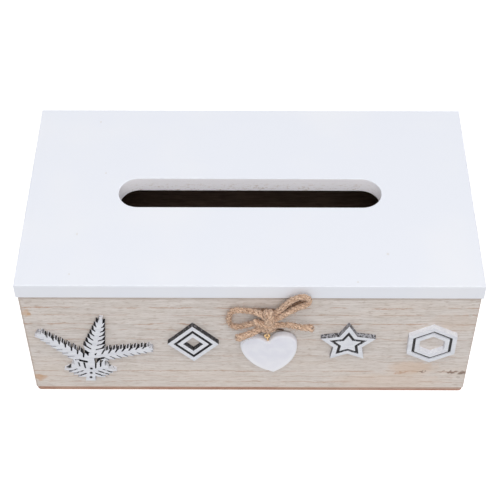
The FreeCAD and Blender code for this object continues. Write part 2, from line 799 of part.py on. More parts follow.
def add_bow(eye_at):
    """The knot sits flat on the front board, and a yarn loop links it to the screw eye."""
    knot = doc.addObject("Part::Ellipsoid", "knot_lump")
    bind(knot, {"Radius1": "knot_half_height", "Radius2": "knot_half_width", "Radius3": "knot_half_depth"})
    place(knot, ("knot_x", f"{FRONT} - knot_centre_out", "knot_z"))
    behind = box("knot_back", ("2 * knot_half_width", "knot_half_depth", "2 * knot_half_height"),
                 ("knot_x - knot_half_width", FRONT, "knot_z - knot_half_height"))
    subpart(cut("knot", knot, behind), "twine_knot")
    add_twine("twine_left_loop", LEFT_LOOP)
    add_twine("twine_right_loop", RIGHT_LOOP)
    add_twine("twine_left_tail", LEFT_TAIL)
    add_twine("twine_right_tail", RIGHT_TAIL)
    yarn = doc.addObject("Part::Torus", "yarn_loop")
    bind(yarn, {"Radius1": "yarn_loop_radius", "Radius2": "yarn_radius"})
    place(yarn, (eye_at[0], f"{FRONT} - yarn_loop_out", f"{eye_at[2]} + yarn_loop_radius"), ALONG_X)
    subpart(yarn, "twine_yarn_loop")


def add_case_and_lid():
    case_holes = add_base_brads()
    case_holes += add_corner_brads("front", FRONT, ALONG_Y)
    case_holes += add_corner_brads("back", BACK, AGAINST_Y)
    screws = {"box": [], "lid": []}
    lid_holes = []
    for side, sign in (("left", -1), ("right", 1)):
        hinge_screws, hinge_holes = add_hinge(side, sign)
        for leaf in screws:
            screws[leaf] += hinge_screws[leaf]
        case_holes += hinge_holes["box"]
        lid_holes += hinge_holes["lid"]
    for leaf, name in (("box", "hinge_box_screws"), ("lid", "hinge_lid_screws")):
        subpart(group(f"{leaf}_screw_set", screws[leaf]), name)
    drilling = fuse("case_drilling", case_holes)
    boards = add_walls()
    boards["bottom_panel"] = add_bottom()
    for name, board in boards.items():
        subpart(cut(f"{name}_drilled", board, drilling), name)
    subpart(cut("lid_drilled", add_lid(), fuse("lid_drilling", lid_holes)), "lid")


def check_and_write():
    doc.recompute()
    failed = [item.Name for item in doc.Objects if {"Invalid", "Error"} & set(item.State)]
    failed += [item.Label for item in subparts if item.Shape.isNull() or not item.Shape.isValid()]
    if failed:
        raise ValueError(f"failed: {failed}")
    os.makedirs("parts", exist_ok=True)
    for item in subparts:
        item.Shape.exportStep(os.path.join("parts", f"{item.Label}.step"))
        print(item.Label, len(item.Shape.Solids), round(item.Shape.Volume, 1))


add_case_and_lid()
add_block_ornaments()
add_sprig()
add_bow(add_heart())
check_and_write()
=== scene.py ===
import math
import random

import bpy
import numpy as np
from mathutils import Matrix, Vector


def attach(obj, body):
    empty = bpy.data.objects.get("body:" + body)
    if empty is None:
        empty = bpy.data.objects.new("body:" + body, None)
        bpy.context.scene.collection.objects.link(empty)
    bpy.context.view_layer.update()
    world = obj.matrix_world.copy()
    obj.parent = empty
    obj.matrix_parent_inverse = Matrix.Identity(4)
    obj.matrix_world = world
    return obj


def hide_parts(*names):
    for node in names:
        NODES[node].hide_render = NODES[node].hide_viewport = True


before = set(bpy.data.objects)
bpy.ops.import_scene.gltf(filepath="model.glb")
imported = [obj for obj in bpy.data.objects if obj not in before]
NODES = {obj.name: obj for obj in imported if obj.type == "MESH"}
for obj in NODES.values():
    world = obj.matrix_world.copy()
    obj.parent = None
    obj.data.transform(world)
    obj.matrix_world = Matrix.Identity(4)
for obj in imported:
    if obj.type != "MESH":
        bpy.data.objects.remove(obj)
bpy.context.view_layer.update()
MM = 0.001
FRONT_FACE = -68.5

# Camera of the photograph, in millimetres and degrees
CAMERA_AT = (2.188, -499.358, 606.320)
CAMERA_PITCH, CAMERA_YAW, CAMERA_ROLL = 48.30, -0.258, -0.040
CAMERA_LENS, CAMERA_SENSOR = 91.11, 36

# Lamps in metres and watts: name, place, size, power and colour
LAMPS = [
    ("key", (0.06, -1.05, 2.0), 1.2, 16.5, (1.0, 0.99, 0.975)),
    ("fill", (0.06, -1.8, 1.3), 1.7, 11.8, (1.0, 0.99, 0.975)),
    ("back", (0.05, 1.0, 1.3), 1.2, 2.0, (1.0, 1.0, 1.0)),
    ("left", (-1.5, 0.1, 1.1), 1.2, 2.0, (1.0, 1.0, 1.0)),
    ("right", (1.5, 0.1, 1.1), 1.2, 2.0, (1.0, 1.0, 1.0)),
]
LAMP_AIM = (0.0, 0.0, 0.05)
WHITE = (1.0, 1.0, 1.0, 1.0)
WORLD_COLOUR = (0.97, 0.98, 1.0, 1.0)
WORLD_LIGHT = 0.46
FLOOR_HALF = 4.0
FLOOR_DROP = 0.2 * MM
FLOOR_COLOUR = (0.53, 0.53, 0.53, 1.0)
FLOOR_ROUGHNESS = 0.9
# Glow that brings the floor up to white where it is seen
FLOOR_LIFT = 0.78

# Softened edges: width in millimetres, steps, and the angle from which an edge counts
WOOD_EDGE = 0.3
EDGE_STEPS = 2
EDGE_ANGLE = 40

# Places on the boards in millimetres, each from where a look starts to where it is full
INSIDE_LONG, INSIDE_WIDE = (116.4, 116.1), (60.9, 60.6)
SLOT_LONG, SLOT_WIDE, SLOT_MIDDLE = (75.0, 74.4), (12.0, 11.4), -0.5
SLOT_WALL_LOW = (92.0, 88.0)
# Heights over which painted light from below lightens the front board towards its bottom
FRONT_LOW_LIGHT_HEIGHTS = (36.0, 16.0)
# The front's side rims, and along its top a painted shadow under the lid's overhang
RIM_LEFT, RIM_RIGHT, LID_SHADOW_BAND = (-122.9, -123.5), (123.3, 123.9), (81.9, 83.3)
GROOVE = (FRONT_FACE - 2.75, FRONT_FACE - 2.55)
# Worn upper left corner of the front: centre and reach
RIM_CORNER = ((-123.5, 84.0), (4.5, 3.0))
# Growth lines of the front board: height, half width and strength
GROWTH_LINES = [
    (75.6, 0.55, 0.70),
    (69.2, 0.50, 0.50),
    (61.6, 0.60, 0.65),
    (56.4, 0.45, 0.50),
    (48.0, 0.45, 0.40),
    (33.0, 0.45, 0.35),
    (27.5, 0.45, 0.30),
    (18.4, 0.55, 0.60),
    (13.2, 0.45, 0.35),
    (8.2, 0.55, 0.50),
]
# Blots of the front board: centre, reach, strength and tone
FRONT_BLOTS = [
    ((-121.4, 70.6), (3.6, 4.0), 0.60, (212, 178, 148)),
    ((-121.2, 12.6), (4.6, 4.6), 0.75, (206, 168, 136)),
    ((92.6, 22.0), (17.0, 8.5), 0.45, (218, 186, 158)),
    ((80.0, 9.0), (40.0, 10.0), 0.25, (226, 196, 170)),
    ((112.0, 65.0), (18.0, 8.0), 0.30, (206, 184, 166)),
    ((87.4, 18.0), (4.5, 1.2), 0.60, (196, 154, 124)),
    ((98.4, 18.2), (2.8, 1.2), 0.75, (132, 104, 86)),
    ((109.0, 18.0), (2.2, 1.0), 0.45, (150, 120, 100)),
    ((115.6, 17.8), (3.4, 1.5), 0.80, (126, 98, 82)),
    ((122.2, 17.2), (2.6, 2.4), 0.80, (120, 96, 82)),
]
# Specks in the lid's paint: centre and reach
LID_SPECKS = [
    ((-88.9, 57.9), (0.7, 0.9)),
    ((-82.5, 14.9), (0.7, 0.8)),
    ((-94.6, -32.4), (0.6, 1.1)),
    ((-96.1, -61.3), (0.6, 0.8)),
    ((74.6, -46.4), (1.0, 1.1)),
    ((57.4, -66.3), (0.8, 0.7)),
]

# The sprig: where its fronds meet, tips of the two arms from there, and black on and round the stem's holes,
# partly their charred walls and partly painted shade
SPRIG_AT = (-88.6, 36.2)
SPRIG_TIPS = [(-28.4, 20.1), (34.6, 6.8)]
TIP_REACH = (4.5, 4.5)
SPRIG_HOLE_SHADES = [(-89.95, 24.5), (-90.44, 20.3), (-90.92, 16.1)]
HOLE_SHADE_REACH = (1.15, 1.35)
# Painted shade on the sprig's cut sides in its middle between the arms: centre and reach
SPRIG_SHADE_SPOT = ((-0.8, -8.0), (8.5, 16.0))
# Crown, left arm and right arm: angle, root, and where leaflets' outer ends start and repeat on the rib
FROND_LEAFLETS = [
    (76.5, (0.0, 0.0), 4.8, 4.1),
    (135.5, (-0.81, -7.02), 4.8, 4.3),
    (12.5, (-0.11, -0.94), 4.6, 3.95),
]
# Ornaments: name, tones of the cut edges, soot on the upper edges, and softened edge
ORNAMENTS = [
    ("sprig", ((30, 29, 32), (84, 83, 88)), 0.0, 0.12),
    ("rhombus", ((40, 39, 42), (140, 139, 144)), 0.8, 0.2),
    ("star", ((96, 95, 100), (178, 179, 186)), 0.4, 0.2),
    ("hexagon", ((222, 224, 232), (242, 244, 249)), 0.0, 0.2),
]
# Arcs that the heart's lower edges follow, for its painted highlight: centre and radius
HEART_HIGHLIGHT_ARCS = [
    ((25.0, 51.7), 30.4),
    ((-6.8, 49.6), 33.2),
]
# Band of painted highlight along those arcs, by its distance inside them, and the heights between which it
# fades
HEART_HIGHLIGHT_BAND = (4.0, 0.5)
HEART_HIGHLIGHT_FADE = (50.0, 40.0)
# Heights over which the painted highlight grows towards the heart's bottom
HEART_LOW_HIGHLIGHT_FADE = (44.0, 26.0)

# Twine routes in metres: x, y from the front board's face (negative is outward) and z
LEFT_LOOP = [
    (0.0092, -0.0028, 0.0742),
    (0.0054, -0.0034, 0.0756),
    (0.0016, -0.0035, 0.0770),
    (-0.0036, -0.0035, 0.0780),
    (-0.0088, -0.0035, 0.0781),
    (-0.0113, -0.0035, 0.0741),
    (-0.0114, -0.0035, 0.0673),
    (-0.0088, -0.0036, 0.0636),
    (-0.0044, -0.0037, 0.0643),
    (0.0012, -0.0042, 0.0674),
    (0.0056, -0.0052, 0.0698),
    (0.0092, -0.0046, 0.0696),
]
RIGHT_LOOP = [
    (0.0106, -0.0034, 0.0738),
    (0.0142, -0.0038, 0.0757),
    (0.0172, -0.0041, 0.0803),
    (0.0212, -0.0045, 0.0866),
    (0.0256, -0.0048, 0.0908),
    (0.0302, -0.0050, 0.0911),
    (0.0323, -0.0053, 0.0880),
    (0.0302, -0.0055, 0.0851),
    (0.0250, -0.0058, 0.0828),
    (0.0206, -0.0060, 0.0793),
    (0.0166, -0.0060, 0.0754),
    (0.0124, -0.0058, 0.0724),
]
LEFT_TAIL = [
    (0.0084, -0.0056, 0.0672),
    (0.0050, -0.0070, 0.0656),
    (0.0016, -0.0080, 0.0642),
    (-0.0022, -0.0082, 0.0620),
    (-0.0068, -0.0082, 0.0598),
]
RIGHT_TAIL = [
    (0.0130, -0.0062, 0.0688),
    (0.0164, -0.0069, 0.0696),
    (0.0206, -0.0074, 0.0706),
    (0.0252, -0.0078, 0.0695),
    (0.0296, -0.0078, 0.0682),
    (0.0338, -0.0077, 0.0684),
]
# The knot: two turns over its front, strands across and behind it, and the bight that the charm hangs from;
# its dark core and the strand under it are painted shade
KNOT_TURN = [
    (0.0087, -0.0025, 0.0750),
    (0.0090, -0.0055, 0.0780),
    (0.0094, -0.0078, 0.0796),
    (0.0097, -0.0086, 0.0780),
    (0.0098, -0.0082, 0.0742),
    (0.0098, -0.0060, 0.0666),
]
KNOT_SECOND_TURN = [
    (0.0110, -0.0025, 0.0750),
    (0.0111, -0.0055, 0.0780),
    (0.0112, -0.0078, 0.0795),
    (0.0114, -0.0086, 0.0779),
    (0.0113, -0.0082, 0.0742),
    (0.0112, -0.0060, 0.0666),
]
KNOT_CROSS = [
    (0.0029, -0.0042, 0.0776),
    (0.0051, -0.0058, 0.0782),
    (0.0070, -0.0070, 0.0774),
    (0.0087, -0.0072, 0.0757),
    (0.0098, -0.0066, 0.0728),
]
KNOT_LUMP = [
    (0.0032, -0.0050, 0.0705),
    (0.0052, -0.0070, 0.0714),
    (0.0079, -0.0080, 0.0704),
    (0.0106, -0.0080, 0.0690),
    (0.0133, -0.0070, 0.0690),
    (0.0148, -0.0055, 0.0694),
]
KNOT_BIGHT = [
    (0.0044, -0.0040, 0.0680),
    (0.0056, -0.0065, 0.0672),
    (0.0077, -0.0070, 0.0657),
    (0.0097, -0.0060, 0.0642),
    (0.0116, -0.0070, 0.0660),
    (0.0135, -0.0065, 0.0675),
    (0.0149, -0.0045, 0.0676),
]
# Dark strand of shaded jute in the knot's core, as painted shade in the knot's gaps
KNOT_SHADE_CORE = [
    (0.0044, -0.0020, 0.0748),
    (0.0067, -0.0024, 0.0760),
    (0.0101, -0.0024, 0.0757),
    (0.0134, -0.0024, 0.0755),
    (0.0159, -0.0020, 0.0744),
]
# Thin strand of the darkest jute under the knot, as a painted shadow above the heart
KNOT_SHADE_UNDER = [
    (0.0051, -0.0046, 0.0605),
    (0.0068, -0.0052, 0.0617),
    (0.0084, -0.0056, 0.0618),
    (0.0100, -0.0056, 0.0616),
    (0.0114, -0.0054, 0.0622),
    (0.0128, -0.0052, 0.0631),
    (0.0151, -0.0048, 0.0632),
    (0.0169, -0.0044, 0.0627),
    (0.0185, -0.0040, 0.0615),
]
# Shaded jute strand inside the right loop, as painted shade in the loop's gap
RIGHT_LOOP_SHADE = [
    (0.0155, -0.0030, 0.0738),
    (0.0181, -0.0030, 0.0771),
    (0.0211, -0.0030, 0.0801),
    (0.0241, -0.0031, 0.0826),
    (0.0271, -0.0033, 0.0847),
    (0.0299, -0.0036, 0.0866),
]
# The yarn that goes from the bight through the screw eye and back
CHARM_YARN = [
    (0.0096, -0.0030, 0.0634),
    (0.0095, -0.0046, 0.0604),
    (0.0096, -0.0044, 0.0568),
    (0.0097, -0.0031, 0.0551),
    (0.0098, -0.0018, 0.0566),
    (0.0098, -0.0020, 0.0600),
    (0.0098, -0.0028, 0.0634),
]
# Thickness of each cord: share of its run and radius
RIGHT_SWELL = [
    (0.0, 1.55 * MM),
    (0.1, 1.65 * MM),
    (0.35, 1.58 * MM),
    (0.6, 1.65 * MM),
    (0.72, 1.6 * MM),
    (0.86, 1.8 * MM),
    (1.0, 2.1 * MM),
]
LEFT_SWELL = [
    (0.0, 1.6 * MM),
    (0.22, 1.6 * MM),
    (0.35, 1.45 * MM),
    (0.55, 1.5 * MM),
    (0.68, 1.65 * MM),
    (0.85, 1.6 * MM),
    (1.0, 1.85 * MM),
]
# Strands of the knot: name, route, share of the twine's radius, jute, seed and count of loose fibres
KNOT_STRANDS = [
    ("bow_knot_turn", KNOT_TURN, 1.1, "pale", 3, 70),
    ("bow_knot_second_turn", KNOT_SECOND_TURN, 1.15, "pale", 8, 70),
    ("bow_knot_cross", KNOT_CROSS, 1.0, "pale", 7, 0),
    ("bow_knot_lump", KNOT_LUMP, 1.2, "pale", 9, 70),
    ("bow_knot_bight", KNOT_BIGHT, 1.15, "pale", 4, 70),
    # The core, the strand under the knot and the inner loop are painted shade in darker jute
    ("bow_knot_shade_core", KNOT_SHADE_CORE, 0.85, "shaded", 10, 0),
    ("bow_knot_shade_under", KNOT_SHADE_UNDER, 0.35, "deep", 12, 0),
    ("bow_right_loop_shade", RIGHT_LOOP_SHADE, 0.8, "shaded", 11, 0),
]
TWINE_RADIUS = 1.65 * MM
TWINE_LAY = 7.5 * MM
TWINE_STEP = 0.3 * MM
RIGHT_SPLAY, RIGHT_SEED = 0.15, 1
LEFT_SPLAY, LEFT_SEED = 0.8, 2
YARN_RADIUS = 0.42 * MM
YARN_LAY = 3.2 * MM
YARN_STEP = 0.15 * MM
YARN_PLIES, YARN_SEED = 2, 5
FRAY_LENGTH = 3.2 * MM
SPLINE_STEPS = 24
# Plies: radius and distance from the twine's middle as shares of its radius, sides, lobes and twist
PLY_SHARE, PLY_OFFSET = 0.53, 0.52
PLY_SIDES = 14
PLY_LOBES, LOBE_DEPTH = 5, 0.07
PLY_TWIST, LAY_SPIN = 1.1, 0.4
# Unevenness along a ply: depth and pace of two waves
SLOW_WAVE, QUICK_WAVE = (0.06, 0.23), (0.04, 0.61)
# Steps that set the fibre patterns of plies and of strands apart
PLY_START, SEED_START = 37.0, 11.0
# Loose fibres: how many on a cord and in the tufts of the cut ends
CORD_HAIRS, RIGHT_TUFT, LEFT_TUFT = 620, 50, 80
HAIR_SEED = 6
# Ranges for a loose fibre and one in a tuft: lean off the strand, reach in millimetres and root across it
HAIR_LEAN, TUFT_LEAN = (0.25, 0.8), (0.15, 0.6)
HAIR_REACH, TUFT_REACH = (0.8, 2.6), (0.7, 2.0)
HAIR_ROOT, TUFT_ROOT = 0.9, (0.1, 0.8)
HAIR_CURL, HAIR_SAG, CURL_SHARE = (-0.9, 0.3), (-0.5, 0.3), 0.5
HAIR_RADIUS, HAIR_TAPER = (0.05, 0.09), 0.75
HAIR_POINTS, HAIR_SIDES = 6, 4


def tone(red, green, blue):
    """A colour written in screen values, as light."""
    shares = [level / 255 for level in (red, green, blue)]
    return [s / 12.92 if s <= 0.04045 else ((s + 0.055) / 1.055) ** 2.4 for s in shares] + [1.0]


def tones(*colours):
    return [tone(*colour) for colour in colours]


# Tones of the boards; pairs go from where a pattern is low to where it is high
WOOD_STREAKS = tones((207, 198, 191), (227, 220, 216))
WOOD_CLOUDS = tone(217, 202, 189)
WOOD_WASH = tone(230, 225, 221)
WOOD_PORES = tone(172, 152, 138)
WOOD_RINGS = tone(158, 130, 108)
WOOD_ENDS = tones((166, 146, 130), (206, 193, 182))
# Bare board inside the box, dark enough to paint the shade in the closed box
WOOD_INSIDE_SHADED = tones((98, 84, 74), (126, 110, 98))
# Painted light from below on the lower front board
FRONT_LOW_PAINTED_LIGHT = tone(250, 236, 224)
FRONT_LINES = tone(182, 138, 108)
# Darker side rims of the front, and the painted shadow under the lid's overhang
FRONT_RIM_AND_LID_SHADOW = tone(164, 140, 126)
LID_WHITES = tones((236, 239, 247), (239, 241, 247))
LID_SPECK = tone(204, 192, 174)
LID_UNDERSIDE = tones((146, 114, 86), (170, 138, 108))
SLOT_WALL = tones((252, 250, 254), (206, 190, 178))
HARDBOARD = tones((164, 124, 106), (192, 154, 136))
HARDBOARD_CLOUDS = tone(196, 168, 150)
HARDBOARD_LIME = tone(210, 192, 180)
FILLER_TAN = tones((202, 166, 136), (214, 184, 158))
FILLER_LIME = tones((200, 188, 178), (216, 208, 201))
# Tones of the ornaments and the heart
ORNAMENT_WHITES = tones((223, 225, 233), (236, 238, 244))
ORNAMENT_WEAR = tone(72, 70, 74)
GROOVE_BLACKS = tones((24, 23, 25), (70, 66, 66))
SOOT = tone(34, 33, 36)
LEAFLET_ENDS = tones((150, 149, 155), (232, 233, 239))
LEFT_ARM_EDGE = tone(204, 205, 212)
RIGHT_ARM_EDGE = tone(190, 191, 198)
SPRIG_FOOT = tones((50, 49, 52), (222, 223, 229))
# Painted shade on the sprig's cut sides between its arms
SPRIG_MIDDLE_SHADE = tone(26, 25, 28)
TIP_SMEARS = tones((148, 148, 156), (226, 227, 233))
HEART_WHITES = tones((235, 236, 246), (241, 242, 250))
# Painted highlight on the heart's rims that do not face up
HEART_RIM_HIGHLIGHT = tone(246, 246, 249)
# Painted shade on the heart's upper faces
HEART_TOP_SHADE = tone(233, 232, 239)
# Painted highlight towards the heart's lower edges
HEART_LOW_HIGHLIGHT = tone(250, 250, 255)
HEART_NICKS = tone(196, 190, 190)
# Tones of the metals and the jute
BRASS = tones((194, 160, 106), (208, 176, 124))
PALE_BRASS = tones((206, 172, 124), (236, 207, 162))
STEEL = tones((150, 150, 152), (196, 196, 200))
JUTE_PALE = tones((158, 112, 80), (250, 223, 198))
# Darker copies of the jute that paint shade and shadow on hidden strands
JUTE_SHADED = tones((92, 66, 48), (150, 118, 92))
JUTE_PAINTED_SHADOW = tones((50, 35, 26), (92, 68, 52))
JUTE_FLECKS = tone(104, 70, 47)
JUTE_SPECKS = tone(92, 54, 32)
# Painted shade in the grooves between the plies
JUTE_GROOVE_SHADE = tone(72, 48, 33)


class Look:
    """One material, built from short node calls. Lengths in its patterns are millimetres."""

    def __init__(self, name):
        self.material = bpy.data.materials.new(name)
        self.material.use_nodes = True
        self.tree = self.material.node_tree
        self.shader = self.tree.nodes["Principled BSDF"]
        place = self.node("ShaderNodeTexCoord")
        self.spot = self.scaled(place.outputs["Object"], 1 / MM)
        self.x, self.y, self.z = self.split(self.spot)
        self.face_x, self.face_y, self.face_z = self.split(place.outputs["Normal"])

    def feed(self, socket, source):
        if isinstance(source, bpy.types.NodeSocket):
            self.tree.links.new(source, socket)
        else:
            socket.default_value = source

    def node(self, kind, inputs=None, **settings):
        node = self.tree.nodes.new(kind)
        for key, setting in settings.items():
            setattr(node, key, setting)
        for socket, source in (inputs or {}).items():
            self.feed(node.inputs[socket], source)
        return node

    def math(self, operation, *terms):
        return self.node("ShaderNodeMath", dict(enumerate(terms)), operation=operation).outputs[0]

    def fold(self, operation, terms):
        total = terms[0]
        for term in terms[1:]:
            total = self.math(operation, total, term)
        return total

    def add(self, *terms):
        return self.fold("ADD", terms)

    def times(self, *terms):
        return self.fold("MULTIPLY", terms)

    def most(self, *terms):
        return self.fold("MAXIMUM", terms)

    def size_of(self, value):
        return self.math("ABSOLUTE", value)

    def sway(self, noise, span):
        """A noise about 0 instead of 0.5, stretched by span."""
        return self.times(self.add(noise, -0.5), span)

    def rise(self, value, low, high):
        """0 below low, 1 above high and smooth between, or the other way round."""
        return self.node("ShaderNodeMapRange", {0: value, 1: low, 2: high},
                         interpolation_type="SMOOTHSTEP").outputs[0]

    def spread(self, value, low, high):
        """Bring a value from 0 to 1 into a range."""
        return self.node("ShaderNodeMapRange", {0: value, 3: low, 4: high}).outputs[0]

    def split(self, vector):
        return self.node("ShaderNodeSeparateXYZ", {0: vector}).outputs[:3]

    def joined(self, x, y, z):
        return self.node("ShaderNodeCombineXYZ", {0: x, 1: y, 2: z}).outputs[0]

    def scaled(self, vector, factor):
        node = self.node("ShaderNodeVectorMath", {0: vector, "Scale": factor}, operation="SCALE")
        return node.outputs[0]

    def noise(self, vector, detail=2.0, rough=0.5):
        return self.node("ShaderNodeTexNoise", {"Vector": vector, "Scale": 1.0, "Detail": detail,
                                                "Roughness": rough}).outputs[0]

    def grain(self, x, y, z, pitch, detail=2.0, rough=0.5):
        """Noise whose spots are as long as pitch says along each way."""
        shares = [self.times(way, 1 / length) for way, length in zip((x, y, z), pitch)]
        return self.noise(self.joined(*shares), detail, rough)

    def even_noise(self, pitch, detail=2.0, rough=0.5):
        return self.noise(self.scaled(self.spot, 1 / pitch), detail, rough)

    def mix(self, share, low, high):
        node = self.node("ShaderNodeMix", {0: share, 6: low, 7: high}, data_type="RGBA")
        return node.outputs[2]

    def blend(self, value, low, high, pair):
        """The first of two tones where a value is below low, and the second where it is above high."""
        return self.mix(self.rise(value, low, high), *pair)

    def coat(self, colour, paint, *shares):
        """A colour under a paint that covers as much of it as the product of the shares."""
        return self.mix(self.times(*shares), colour, paint)

    def blot(self, across, up, centre, reach):
        """1 at a spot's centre and 0 beyond its reach."""
        away = [self.times(self.add(way, -at), 1 / far) for way, at, far in
                zip((across, up), centre, reach)]
        squares = self.add(self.times(away[0], away[0]), self.times(away[1], away[1]))
        return self.rise(squares, 1.0, 0.1)

    def bump(self, height, depth, strength=1.0):
        node = self.node("ShaderNodeBump", {"Strength": strength, "Distance": depth * MM,
                                            "Height": height})
        self.feed(self.shader.inputs["Normal"], node.outputs[0])

    def finish(self, colour, rough, metal=0.0, shine=0.5):
        self.feed(self.shader.inputs["Base Color"], colour)
        self.feed(self.shader.inputs["Roughness"], rough)
        self.shader.inputs["Metallic"].default_value = metal
        self.shader.inputs["Specular IOR Level"].default_value = shine
        return self.material


# Wood and board

def limed_wood(name, is_long):
    """Whitewashed boards with level grain, bare inside the box in a dark tone that paints the box's shade,
    and darker on cut ends.
    """
    look = Look(name)
    along, deep = (look.x, look.y) if is_long else (look.y, look.x)
    drift = look.grain(along, look.z, deep, (130, 50, 60), 2.0)
    ripple = look.grain(along, look.z, deep, (11, 5, 6), 3.0, 0.6)
    level = look.add(look.z, look.sway(drift, 6.0), look.sway(ripple, 2.6))
    cloud = look.grain(along, look.z, deep, (60, 13, 16), 3.0)
    streak = look.grain(along, level, deep, (13, 1.25, 1.5), 4.0, 0.6)
    fine = look.grain(along, level, deep, (4.5, 0.7, 0.9), 2.0, 0.6)
    broken = look.rise(look.grain(along, level, deep, (13, 3, 20), 3.0), 0.38, 0.56)
    pores = look.rise(fine, 0.55, 0.66)
    wash = look.rise(look.grain(along, level, deep, (10, 1.0, 8), 3.0), 0.52, 0.64)

    colour = look.blend(streak, 0.30, 0.70, WOOD_STREAKS)
    colour = look.coat(colour, WOOD_CLOUDS, look.rise(cloud, 0.45, 0.75), 0.40)
    colour = look.coat(colour, WOOD_WASH, wash, 0.35)
    colour = look.coat(colour, WOOD_PORES, pores, 0.45)
    if name == "front_wood":
        colour = front_marks(look, colour, broken)
    else:
        rings = look.grain(along, level, deep, (700, 8.5, 40), 1.0)
        ring = look.rise(look.size_of(look.add(rings, -0.5)), 0.020, 0.0)
        colour = look.coat(colour, WOOD_RINGS, ring, broken, 0.60)
    if is_long:
        specks = look.grain(look.x, look.y, look.z, (1.0, 0.7, 0.7), 3.0, 0.7)
        cut = look.blend(specks, 0.35, 0.68, WOOD_ENDS)
        colour = look.coat(colour, cut, look.rise(look.size_of(look.face_x), 0.6, 0.9))
    # Inside the box: bare board, darkened as painted shade
    bare = look.blend(streak, 0.3, 0.7, WOOD_INSIDE_SHADED)
    colour = look.coat(colour, bare, look.rise(look.size_of(look.x), *INSIDE_LONG),
                       look.rise(look.size_of(look.y), *INSIDE_WIDE))
    look.bump(look.add(look.times(streak, 0.4), look.times(pores, -0.7)), 0.10, 0.7)
    return look.finish(colour, look.spread(streak, 0.62, 0.82), shine=0.3)


def front_marks(look, colour, broken):
    """Growth lines, filler smudges by the brads, a tan patch with a small knot, painted light low down,
    darker side rims and a painted shadow under the lid.
    """
    # Painted light from below: the front board lighter towards its bottom
    colour = look.coat(colour, FRONT_LOW_PAINTED_LIGHT, look.rise(look.z, *FRONT_LOW_LIGHT_HEIGHTS), 0.15)
    waver = look.sway(look.grain(look.x, look.z, look.y, (14, 6, 9), 5.0, 0.68), 5.0)
    line_z = look.add(look.z, waver)
    for height, half, share in GROWTH_LINES:
        line = look.rise(look.size_of(look.add(line_z, -height)), half, 0.3 * half)
        colour = look.coat(colour, FRONT_LINES, line, broken, share)
    stir = look.sway(look.even_noise(3.4, 3.0), 9.0)
    across, up = look.add(look.x, stir), look.add(look.z, stir)
    for centre, reach, share, paint in FRONT_BLOTS:
        colour = look.coat(colour, tone(*paint), look.blot(across, up, centre, reach), share)
    # Darker side rims, a worn corner, and along the top a painted shadow under the lid
    rim = look.most(look.rise(look.x, *RIM_LEFT), look.rise(look.x, *RIM_RIGHT), look.rise(look.z, *LID_SHADOW_BAND))
    corner = look.blot(across, up, *RIM_CORNER)
    return look.coat(colour, FRONT_RIM_AND_LID_SHADOW, look.most(rim, corner), 0.38)


def lid_paint():
    """Satin white paint with a few specks, thin on the slot's wall, and bare board underneath."""
    look = Look("lid_paint")
    cloud = look.even_noise(60.0, 2.0)
    peel = look.even_noise(1.4, 2.0)
    colour = look.blend(cloud, 0.4, 0.7, LID_WHITES)
    for centre, reach in LID_SPECKS:
        colour = look.coat(colour, LID_SPECK, look.blot(look.x, look.y, centre, reach), 0.3)
    fibres = look.grain(look.x, look.y, look.z, (3.0, 3.0, 0.8), 3.0, 0.7)
    low = look.rise(look.z, *SLOT_WALL_LOW)
    thin = look.mix(look.times(look.rise(fibres, 0.52, 0.70), look.spread(low, 0.1, 0.8)), *SLOT_WALL)
    colour = look.coat(colour, thin, look.rise(look.size_of(look.x), *SLOT_LONG),
                       look.rise(look.size_of(look.add(look.y, -SLOT_MIDDLE)), *SLOT_WIDE),
                       look.rise(look.size_of(look.face_z), 0.6, 0.2))
    raw = look.blend(fibres, 0.35, 0.7, LID_UNDERSIDE)
    colour = look.coat(colour, raw, look.rise(look.face_z, -0.7, -0.95))
    look.bump(peel, 0.02, 0.35)
    return look.finish(colour, look.spread(peel, 0.48, 0.60), shine=0.3)


def hardboard():
    """Brown fibreboard, limed along the top of its edge."""
    look = Look("hardboard")
    fibres = look.grain(look.x, look.y, look.z, (2.6, 2.6, 0.5), 4.0, 0.7)
    cloud = look.even_noise(26.0, 3.0)
    colour = look.blend(fibres, 0.3, 0.7, HARDBOARD)
    colour = look.coat(colour, HARDBOARD_CLOUDS, look.rise(cloud, 0.45, 0.7), 0.35)
    drips = look.add(look.z, look.sway(cloud, 1.4), look.rise(look.x, 20.0, 110.0))
    upright = look.rise(look.size_of(look.face_z), 0.5, 0.2)
    colour = look.coat(colour, HARDBOARD_LIME, look.rise(drips, 2.2, 2.6), upright, 0.5)
    look.bump(fibres, 0.08, 0.6)
    return look.finish(colour, look.spread(fibres, 0.6, 0.85), shine=0.3)


def filler():
    """Filler over the brads: tan at the left end of the box and limed at the right."""
    look = Look("filler")
    grit = look.even_noise(0.5, 3.0, 0.6)
    tan = look.blend(grit, 0.3, 0.7, FILLER_TAN)
    limed = look.blend(grit, 0.3, 0.7, FILLER_LIME)
    colour = look.blend(look.x, -1.0, 1.0, (tan, limed))
    look.bump(grit, 0.05, 0.5)
    return look.finish(colour, look.spread(grit, 0.7, 0.9), shine=0.3)


# Painted ornaments

